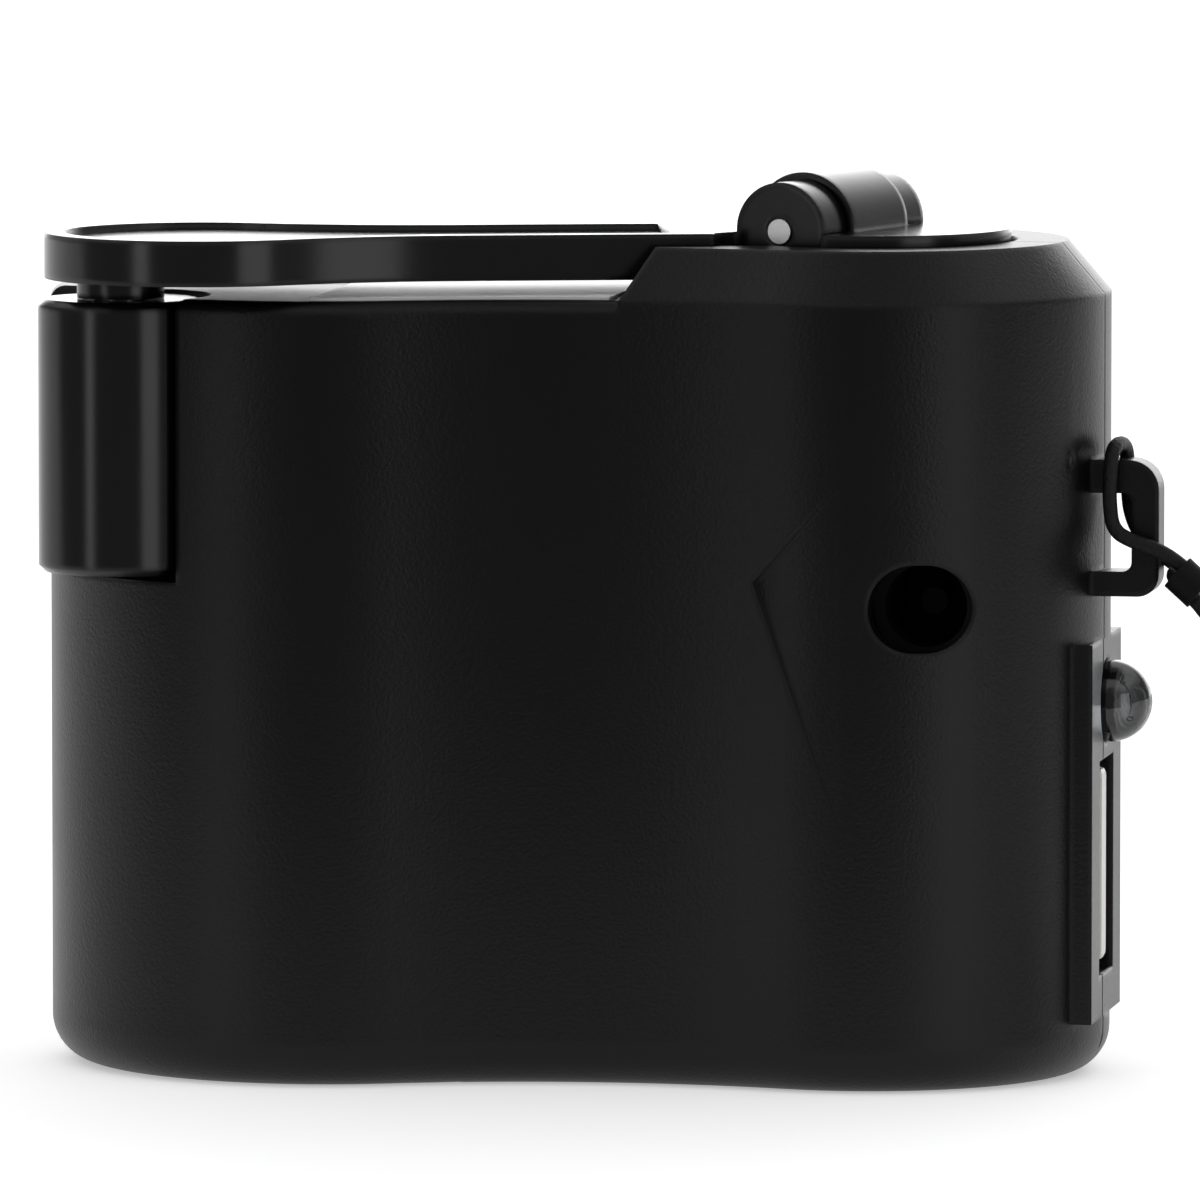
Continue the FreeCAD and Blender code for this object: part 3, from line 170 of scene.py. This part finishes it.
housing_abs = textured_abs(
    "black_textured_abs", BLACK, 0.34, GRAIN_MM, GRAIN_DEPTH_MM, shine=0.2
)
crank_abs = textured_abs("black_satin_abs", BLACK, 0.18, WAVES_MM, WAVES_DEPTH_MM, shine=0.32)
for name in ("front_shell", "rear_shell"):
    wear(nodes[name], housing_abs)
for name in ("crank_hub", "crank_arm", "knob"):
    wear(nodes[name], crank_abs)
print("grains per centimetre of housing:", round(10 / GRAIN_MM))

# %% [markdown]
# ## Metals
# The hinge pin, the axles, the screws and the sheet metal of the sockets are steel, bright from
# drawing and plating. The bush and the pinion are sintered bronze, the windings are enamelled
# copper, and the socket's contacts are gold plated. The pin of the DC jack is nickel, coloured
# nearly black as painted shade for the depth of its hole, so it doesn't flash there. Drawn or
# rolled metal has fine scratches along one direction: a noise that is stretched forty times along
# that axis draws them, which is simpler than modelling scratches and works at any distance. Real
# ones are a few hundredths of a millimetre wide, too fine to show, so they are drawn 0.15 mm
# wide.
# One recipe serves all these metals, and only the colour, the roughness and the direction differ.

# %% Metal finishes
SCRATCH_MM = 0.15
SCRATCH_DEPTH_MM = 0.004
ALONG = 1 / 40
STRETCH = {"X": (ALONG, 1, 1), "Y": (1, ALONG, 1), "Z": (1, 1, ALONG)}


def drawn_metal(name, shade, rough, along="Z"):
    material, tree, shader = finish_material(name)
    place = node(tree, "ShaderNodeTexCoord").outputs["Object"]
    turned = node(tree, "ShaderNodeMapping", {"Vector": place})
    turned.inputs["Scale"].default_value = STRETCH[along]
    stretched = {"Vector": turned.outputs[0]}
    scratch = node(
        tree, "ShaderNodeTexNoise", stretched, Scale=1 / (SCRATCH_MM * MM), Detail=2.0
    )
    lines = scratch.outputs["Fac"]
    spread = node(
        tree, "ShaderNodeMapRange", {"Value": lines}, To_Min=rough - 0.06, To_Max=rough + 0.08
    )
    bump = node(
        tree, "ShaderNodeBump", {"Height": lines}, Strength=0.3, Distance=SCRATCH_DEPTH_MM * MM
    )
    tree.links.new(spread.outputs[0], shader.inputs["Roughness"])
    tree.links.new(bump.outputs[0], shader.inputs["Normal"])
    shader.inputs["Base Color"].default_value = linear(shade)
    shader.inputs["Metallic"].default_value = 1.0
    return material


bright_steel = drawn_metal("bright_drawn_steel", "#c8c8c9", 0.24, "Y")
zinc_steel = drawn_metal("zinc_plated_steel", "#b9bbbe", 0.32)
tin_plate = drawn_metal("tin_plate", "#c4c4c2", 0.30, "X")
# The jack pin's near-black colour is painted shade for the depth of its hole, not the nickel's
# own colour.
hole_shade_nickel = drawn_metal("hole_shade_nickel", "#201f1e", 0.55, "Y")
sintered_bronze = drawn_metal("sintered_bronze", "#a9855a", 0.42)
enamelled_copper = drawn_metal("enamelled_copper", "#b4683c", 0.30)
contact_gold = drawn_metal("contact_gold", "#d9b25c", 0.25, "X")
ferrite = drawn_metal("sintered_ferrite", "#4a4a4e", 0.55)
metal_nodes = {
    "hinge_pin": bright_steel,
    "crank_shaft": bright_steel,
    "shaft_clip": bright_steel,
    "hub_washer": bright_steel,
    "gear_axles": bright_steel,
    "plate_pillars": bright_steel,
    "knob_stud": bright_steel,
    "rotor_shaft": bright_steel,
    "one_way_clutch": bright_steel,
    "shell_screws": zinc_steel,
    "knob_screw": zinc_steel,
    "generator_can": zinc_steel,
    "usb_shell": tin_plate,
    "dc_jack_pin": hole_shade_nickel,
    "led_leads": tin_plate,
    "usb_contacts": contact_gold,
    "top_bush": sintered_bronze,
    "motor_pinion": sintered_bronze,
    "armature": enamelled_copper,
    "commutator": enamelled_copper,
    "stator_magnets": ferrite,
}
for name, material in metal_nodes.items():
    wear(nodes[name], material)
print("metal pieces:", len(metal_nodes))

# %% [markdown]
# ## Smooth plastics
# Gears are moulded in acetal, which is milky and slightly waxy, so it gets a little light that
# spreads under its surface. The plates and the socket's tongue are nylon, the DC jack is PBT, and
# the leads and the capacitor wear coloured vinyl. The label is a bare silvery film. All of them
# leave a polished mould or a roller, whose marks are too fine to show. So a faint speck about a
# millimetre wide, and smaller on the film, stands for them in the roughness and the height.

# %% Plastic finishes
SPECK_MM, FILM_SPECK_MM = 1.2, 0.4
SPECK_DEPTH_MM = 0.01
PLASTIC_IOR = 1.5
WAXY_DEPTH_MM = 0.5


def smooth_plastic(name, shade, rough, waxy=0.0, speck_mm=SPECK_MM):
    material, tree, shader = finish_material(name)
    place = {"Vector": node(tree, "ShaderNodeTexCoord").outputs["Object"]}
    speck = node(tree, "ShaderNodeTexNoise", place, Scale=1 / (speck_mm * MM), Detail=4.0)
    dots = speck.outputs["Fac"]
    spread = node(
        tree, "ShaderNodeMapRange", {"Value": dots}, To_Min=rough - 0.05, To_Max=rough + 0.06
    )
    bump = node(
        tree, "ShaderNodeBump", {"Height": dots}, Strength=0.25, Distance=SPECK_DEPTH_MM * MM
    )
    tree.links.new(spread.outputs[0], shader.inputs["Roughness"])
    tree.links.new(bump.outputs[0], shader.inputs["Normal"])
    shader.inputs["Base Color"].default_value = linear(shade)
    shader.inputs["IOR"].default_value = PLASTIC_IOR
    if waxy:
        shader.inputs["Subsurface Weight"].default_value = waxy
        shader.inputs["Subsurface Radius"].default_value = (0.6, 0.5, 0.4)
        shader.inputs["Subsurface Scale"].default_value = WAXY_DEPTH_MM * MM
    return material


acetal = smooth_plastic("milky_acetal", "#e6e3da", 0.38, waxy=0.2)
plate_nylon = smooth_plastic("grey_nylon", "#b8b8b5", 0.45)
white_nylon = smooth_plastic("white_nylon", "#e8e8e4", 0.4)
jack_plastic = smooth_plastic("black_pbt", BLACK, 0.6)
jack_shader = jack_plastic.node_tree.nodes["Principled BSDF"]
jack_shader.inputs["Specular IOR Level"].default_value = 0.15
chip_epoxy = smooth_plastic("black_epoxy", "#202022", 0.5)
sleeve_vinyl = smooth_plastic("dark_blue_vinyl", "#1c2140", 0.3)
wire_vinyl = smooth_plastic("red_vinyl", "#8c1d18", 0.35)
label_film = smooth_plastic("silver_label_film", "#d9d9d8", 0.35, speck_mm=FILM_SPECK_MM)
print("specks are", SPECK_MM, "mm on plastic and", FILM_SPECK_MM, "mm on the film")

# %% [markdown]
# ## The lamp and the board
# The lamp is cast in clear epoxy, which bends light much as glass does but is slightly hazy: so
# the shader lets light through, and a slow noise takes its roughness from nothing to a trace.
# The circuit board's green is a lacquer over glass cloth. The cloth's threads lie half a
# millimetre apart and show faintly through the lacquer, so two crossed waves raise them.

# %% Lamp and board finishes
HAZE_MM, HAZE = 1.5, 0.05
EPOXY_IOR = 1.52
clear_epoxy, clear_tree, clear_shader = finish_material("clear_epoxy")
clear_shader.inputs["Base Color"].default_value = linear("#b4b7ba")
clear_shader.inputs["Transmission Weight"].default_value = 1.0
clear_shader.inputs["IOR"].default_value = EPOXY_IOR
clear_place = {"Vector": node(clear_tree, "ShaderNodeTexCoord").outputs["Object"]}
haze = node(clear_tree, "ShaderNodeTexNoise", clear_place, Scale=1 / (HAZE_MM * MM))
hazy = {"Value": haze.outputs["Fac"]}
haze_range = node(clear_tree, "ShaderNodeMapRange", hazy, To_Min=0.0, To_Max=HAZE)
clear_tree.links.new(haze_range.outputs[0], clear_shader.inputs["Roughness"])

THREAD_MM = 0.5
WEAVE_DEPTH_MM = 0.01
board_lacquer, board_tree, board_shader = finish_material("green_solder_mask")
board_place = {"Vector": node(board_tree, "ShaderNodeTexCoord").outputs["Object"]}
threads = {}
for number, axis in enumerate("XZ"):
    wave = node(
        board_tree,
        "ShaderNodeTexWave",
        board_place,
        Scale=1 / (2 * THREAD_MM * MM),
        bands_direction=axis,
    )
    threads[number] = wave.outputs["Fac"]
weave = node(board_tree, "ShaderNodeMath", threads, operation="ADD")
woven = {"Height": weave.outputs[0]}
weave_bump = node(
    board_tree, "ShaderNodeBump", woven, Strength=0.3, Distance=WEAVE_DEPTH_MM * MM
)
board_tree.links.new(weave_bump.outputs[0], board_shader.inputs["Normal"])
board_shader.inputs["Base Color"].default_value = linear("#1f5b33")
board_shader.inputs["Roughness"].default_value = 0.3
print("threads per centimetre of board:", round(10 / THREAD_MM))

# %% Who wears which plastic
plastic_nodes = {
    "crank_gear": acetal,
    "first_gear": acetal,
    "second_gear": acetal,
    "upper_gear_plate": plate_nylon,
    "lower_gear_plate": plate_nylon,
    "generator_end_cap": white_nylon,
    "usb_tongue": white_nylon,
    "dc_jack": jack_plastic,
    "diodes": chip_epoxy,
    "regulator": chip_epoxy,
    "capacitor": sleeve_vinyl,
    "generator_leads": wire_vinyl,
    "label_plate": label_film,
    "circuit_board": board_lacquer,
    "led_lamp": clear_epoxy,
}
for name, material in plastic_nodes.items():
    wear(nodes[name], material)
print("plastic pieces:", len(plastic_nodes))

# %% [markdown]
# ## The socket's tongue and the inside of the lamp
# Small pieces that show through openings are made here in full. The socket's white tongue is a
# moulded bar with a rounded front, and it nearly reaches the socket's face. Inside a clear lamp
# stand two metal posts, and the shorter one carries the cup in which the chip sits. Boxes and
# cylinders would do, but all of these are outlines pushed along one direction, so a single
# function that joins rings of corners makes them all, with closed ends.

# %% Bars and turned pieces


def mesh_piece(name, corners, faces, material, slot):
    """A piece from corner points in millimetres; it rides on the housing."""
    mesh = bpy.data.meshes.new(name)
    mesh.from_pydata([Vector(c) * MM for c in corners], [], faces)
    mesh.update()
    mesh.materials.append(material)
    piece = bpy.data.objects.new(name, mesh)
    scene.collection.objects.link(piece)
    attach(piece, "housing")
    return piece


def bar_along_x(outline, stations):
    """Corners and faces of a closed bar along x.

    The outline (y, z) is scaled about a middle point at each station (x, share, y, z).
    """
    count = len(outline)
    corners = []
    for x, share, y, z in stations:
        corners += [(x, y + share * oy, z + share * oz) for oy, oz in outline]
    faces = [tuple(reversed(range(count))), tuple(range(len(corners) - count, len(corners)))]
    for ring in range(len(stations) - 1):
        for k in range(count):
            a, b = ring * count + k, ring * count + (k + 1) % count
            faces.append((a, b, b + count, a + count))
    return corners, faces


# %% Tongue of the socket
TONGUE_MIDDLE = (0.55, 12.7)
HALF_Y, HALF_Z, ROUND = 0.95, 5.85, 0.35
ROUND_STEPS = 4
QUARTERS = [(1, 1), (-1, 1), (-1, -1), (1, -1)]
# Each station is a place along x and the share of the outline there: the front is rounded off.
TONGUE_ENDS = [(18.0, 1.0), (31.75, 1.0), (31.98, 0.985), (32.08, 0.95)]

tongue_outline = []
for turn, (side_y, side_z) in enumerate(QUARTERS):
    for step in range(ROUND_STEPS):
        angle = math.radians(90 * turn + 90 // (ROUND_STEPS - 1) * step)
        at_y = side_y * (HALF_Y - ROUND) + ROUND * math.cos(angle)
        at_z = side_z * (HALF_Z - ROUND) + ROUND * math.sin(angle)
        tongue_outline.append((at_y, at_z))
tongue_stations = [(x, share, *TONGUE_MIDDLE) for x, share in TONGUE_ENDS]
tongue = mesh_piece(
    "socket_tongue", *bar_along_x(tongue_outline, tongue_stations), white_nylon, "tongue_white"
)
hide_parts("usb_tongue")
print("tongue reaches x =", tongue_stations[-1][0], "mm")

# %% Posts and cup inside the lamp
LAMP_Y, LAMP_Z = 0.0, 22.7
CUP_RISE, WIRE_DROP = 0.3, 1.1
POST_FOOT_X = 27.4
POST_TIP_MM, POST_TIP_SHARE = 0.5, 0.7
CIRCLE_STEPS = 24
CUP_PROFILE = [(29.8, 0.45), (30.9, 1.0), (31.1, 1.0), (31.1, 0.85), (30.5, 0.5)]

circle_angles = [math.tau * k / CIRCLE_STEPS for k in range(CIRCLE_STEPS)]
circle = [(math.cos(angle), math.sin(angle)) for angle in circle_angles]
post_outline = [(0.22, 0.4), (-0.22, 0.4), (-0.22, -0.4), (0.22, -0.4)]
post_ends = {"lamp_cup_post": (29.9, CUP_RISE), "lamp_wire_post": (30.9, -WIRE_DROP)}
for name, (end, rise) in post_ends.items():
    shares = [(POST_FOOT_X, 1.0), (end - POST_TIP_MM, 1.0), (end, POST_TIP_SHARE)]
    post_stations = [(x, share, LAMP_Y, LAMP_Z + rise) for x, share in shares]
    mesh_piece(name, *bar_along_x(post_outline, post_stations), tin_plate, "tinned")
cup_stations = [(x, radius, LAMP_Y, LAMP_Z + CUP_RISE) for x, radius in CUP_PROFILE]
mesh_piece("lamp_cup", *bar_along_x(circle, cup_stations), tin_plate, "tinned")
print("cup mouth:", 2 * CUP_PROFILE[2][1], "mm wide")

# %% [markdown]
# ## The wrist cord
# The cord is a thin braided nylon string. Its short loop goes round the upper leg of the moulded
# eye, and both strands of that loop meet in a small sleeve. From there the cord falls to the
# table, where the rest of it lies in a few neat turns and ends in a knot. A chain of rigid links
# or a simulation could lay it too, but the rest pose is known, so a curve is the right tool: its
# control points are the route, and the curve gives the string its thickness. The order is set
# after the points, because Blender lowers it while there are too few of them.

# %% Route of the cord
CORD_DIAMETER = 0.9 * MM
ROUTE_MM = [
    (38.76, -4.79, 30.32),
    (37.43, -4.75, 31.50),
    (36.10, -4.85, 32.35),
    (34.60, -4.90, 32.80),
    (33.35, -4.85, 33.45),
    (33.10, -4.65, 35.00),
    (33.10, -4.60, 36.50),
    (33.25, -4.60, 38.55),
    (33.60, -1.00, 38.55),
    (33.70, -0.95, 36.50),
    (33.75, -0.90, 34.40),
    (34.50, -0.90, 32.70),
    (36.05, -0.80, 31.50),
    (37.10, -2.40, 31.00),
    (36.80, -4.75, 30.75),
    (38.54, -4.80, 29.18),
    (40.00, -5.10, 27.20),
    (42.40, -5.90, 22.80),
    (45.30, -7.10, 15.80),
    (47.90, -8.60, 8.40),
    (50.20, -9.90, 2.40),
]
print("cord points on the way down:", len(ROUTE_MM))

# %% [markdown]
# ## The turns on the table
# Each turn of the coil has a radius and a height, so that it lies beside or on the turn before
# it. Near its end a turn eases over to the next one, as a laid string does, and the last one
# eases in to the knot.

# %% Turns and knot
COIL_MIDDLE_MM = (57.5, -8.0)
COIL_TURNS = [(5.43, 0.47), (4.53, 0.47), (4.98, 1.27), (3.4, 1.2)]
STEPS_A_TURN = 16
COIL_STEPS = 52
EASES = [(11, 5), (27, 5), (44, 7)]  # the step that each turn eases from, and over how many
FIRST_ANGLE = math.radians(208)
KNOT_MM = (60.7, -8.0, 1.2)

turns = []
for k in range(COIL_STEPS):
    turn = min(k // STEPS_A_TURN, len(EASES) - 1)
    (wide, high), (next_wide, next_high) = COIL_TURNS[turn : turn + 2]
    ease_start, ease_steps = EASES[turn]
    share = min(max(k - ease_start, 0) / ease_steps, 1.0)
    wide += (next_wide - wide) * share
    high += (next_high - high) * share
    angle = FIRST_ANGLE + k * math.tau / STEPS_A_TURN
    at_x = COIL_MIDDLE_MM[0] + wide * math.cos(angle)
    at_y = COIL_MIDDLE_MM[1] + wide * math.sin(angle)
    turns.append((at_x, at_y, high))
turns.append(KNOT_MM)
print("cord points in the turns:", len(turns))

# %% [markdown]
# ## The braid
# A braided string shows small raised strands, here 0.3 mm apart. Modelled strands would need far
# too many faces, so a cell pattern of that size raises the surface. Nylon yarn is dull, so its
# sheen is kept low.

# %% Wrist cord
STRAND_MM, STRAND_DEPTH_MM = 0.3, 0.06
SEGMENTS = 4
CURVE_ORDER = 3
CURVE_STEPS = 10

string = bpy.data.curves.new("wrist_cord", "CURVE")
string.dimensions = "3D"
string.bevel_depth = CORD_DIAMETER / 2
string.bevel_resolution = SEGMENTS
string.use_fill_caps = True
line = string.splines.new("NURBS")
line.points.add(len(ROUTE_MM + turns) - 1)
for point, place in zip(line.points, ROUTE_MM + turns):
    point.co = (*(Vector(place) * MM), 1.0)
line.order_u = CURVE_ORDER
line.use_endpoint_u = True
line.resolution_u = CURVE_STEPS
wrist_cord = bpy.data.objects.new("wrist_cord", string)
scene.collection.objects.link(wrist_cord)

braid, braid_tree, braid_shader = finish_material("braided_nylon")
braid_place = {"Vector": node(braid_tree, "ShaderNodeTexCoord").outputs["Object"]}
strand = node(braid_tree, "ShaderNodeTexVoronoi", braid_place, Scale=1 / (STRAND_MM * MM))
raised = {"Height": strand.outputs["Distance"]}
braid_bump = node(
    braid_tree, "ShaderNodeBump", raised, Strength=0.8, Distance=STRAND_DEPTH_MM * MM
)
braid_tree.links.new(braid_bump.outputs[0], braid_shader.inputs["Normal"])
braid_shader.inputs["Base Color"].default_value = linear("#0b0b0c")
braid_shader.inputs["Roughness"].default_value = 0.6
braid_shader.inputs["Specular IOR Level"].default_value = 0.25
string.materials.append(braid)
for name in ("lanyard_cord", "lanyard_coil", "lanyard_knot"):
    wear(nodes[name], braid)
wear(nodes["lanyard_ferrule"], jack_plastic)
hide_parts("lanyard_cord", "lanyard_coil")
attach(wrist_cord, "housing")
print("cord thickness:", round(CORD_DIAMETER / MM, 2), "mm")

# %% [markdown]
# ## Floor
# The charger stands on a white paper sweep that ends a little in front of it. Lit paper alone
# would come out grey, and more light on it would wash out the black body. So the paper also glows
# a little, but only where it is seen: by the camera, in reflections, and through clear plastic.

# %% Floor
LEFT, RIGHT, FRONT, BACK = -1.5, 1.5, -0.075, 3.0
TABLE_GLOW = 0.42

sweep_mesh = bpy.data.meshes.new("floor")
sweep_corners = [(LEFT, FRONT, 0), (RIGHT, FRONT, 0), (RIGHT, BACK, 0), (LEFT, BACK, 0)]
sweep_mesh.from_pydata(sweep_corners, [], [(0, 1, 2, 3)])
floor = bpy.data.objects.new("floor", sweep_mesh)
scene.collection.objects.link(floor)
paper, paper_tree, paper_shader = finish_material("white_paper")
paper_shader.inputs["Base Color"].default_value = linear("#f6f6f6")
paper_shader.inputs["Roughness"].default_value = 0.9
paper_shader.inputs["Specular IOR Level"].default_value = 0.2
path = node(paper_tree, "ShaderNodeLightPath").outputs
seen = path["Is Camera Ray"]
for kind in ("Is Glossy Ray", "Is Transmission Ray"):
    either = node(paper_tree, "ShaderNodeMath", {0: seen, 1: path[kind]}, operation="MAXIMUM")
    seen = either.outputs[0]
glowing = node(paper_tree, "ShaderNodeMath", {0: seen}, operation="MULTIPLY")
glowing.inputs[1].default_value = TABLE_GLOW
paper_shader.inputs["Emission Color"].default_value = linear("#ffffff")
paper_tree.links.new(glowing.outputs[0], paper_shader.inputs["Emission Strength"])
floor.data.materials.append(paper)
print("the paper ends", round(-FRONT / MM), "mm in front of the middle")

# %% [markdown]
# ## Light
# The room is dim on the camera's side, brighter in a ring overhead, and brightest low behind the
# sweep: so the tops shine and the upright black walls keep their shape. The ring is open straight
# above, because the sloping bevels would mirror a bright ceiling and turn grey. The camera itself
# sees plain white behind the charger from every side. One soft strip on each side draws a band
# down each rounded end.

# %% Room
DIM, OVERHEAD, BEHIND = 0.26, 1.1, 3.4
BACKDROP = 1.0  # the strength that the camera sees as white
# Each glow has an axis, the part of that axis where it is still dim and where it is full (1 is
# straight along the axis), and its full strength.
GLOWS = {
    "overhead": ("Z", 0.4, 0.75, OVERHEAD),
    "opening": ("Z", 0.97, 0.85, OVERHEAD),
    "behind": ("Y", 0.72, 0.97, BEHIND),
}

world = bpy.data.worlds.new("studio")
world.use_nodes = True
scene.world = world
sky = world.node_tree
sky.nodes["Background"].inputs["Color"].default_value = (1, 1, 1, 1)
directions = {"Vector": node(sky, "ShaderNodeTexCoord").outputs["Generated"]}
heading = node(sky, "ShaderNodeSeparateXYZ", directions)
glows = {}
for name, (axis, dim_at, full_at, strength) in GLOWS.items():
    rise = node(
        sky,
        "ShaderNodeMapRange",
        {"Value": heading.outputs[axis]},
        interpolation_type="SMOOTHSTEP",
        From_Min=dim_at,
        From_Max=full_at,
        To_Min=DIM,
        To_Max=strength,
    )
    glows[name] = rise.outputs[0]
ring_parts = {0: glows["overhead"], 1: glows["opening"]}
ring = node(sky, "ShaderNodeMath", ring_parts, operation="MINIMUM")
room_parts = {0: ring.outputs[0], 1: glows["behind"]}
room = node(sky, "ShaderNodeMath", room_parts, operation="MAXIMUM")
camera_ray = node(sky, "ShaderNodeLightPath").outputs["Is Camera Ray"]
backdrop = node(sky, "ShaderNodeMath", {0: camera_ray}, operation="MULTIPLY")
backdrop.inputs[1].default_value = BACKDROP
level_parts = {0: room.outputs[0], 1: backdrop.outputs[0]}
level = node(sky, "ShaderNodeMath", level_parts, operation="MAXIMUM")
sky.links.new(level.outputs[0], sky.nodes["Background"].inputs["Strength"])
print("behind the sweep the room is", round(BEHIND / DIM), "times as bright as in front")

# %% Strips
LOOK_AT_MM = (0, 0, 25)


def soft_light(name, watts, size_mm, at_mm):
    """A rectangular lamp that looks at the middle of the charger."""
    light = bpy.data.lights.new(name, "AREA")
    light.energy = watts
    light.shape = "RECTANGLE"
    light.size, light.size_y = size_mm[0] * MM, size_mm[1] * MM
    strip = bpy.data.objects.new(name, light)
    scene.collection.objects.link(strip)
    strip.location = Vector(at_mm) * MM
    strip.rotation_mode = "QUATERNION"
    aim = Vector(LOOK_AT_MM) * MM - strip.location
    strip.rotation_quaternion = aim.to_track_quat("-Z", "Y")
    print(name, "stands", round(aim.length / MM), "mm away")


soft_light("left_strip", 0.15, (90, 300), (-280, -415, 60))
soft_light("right_strip", 0.29, (220, 300), (383, -321, 60))
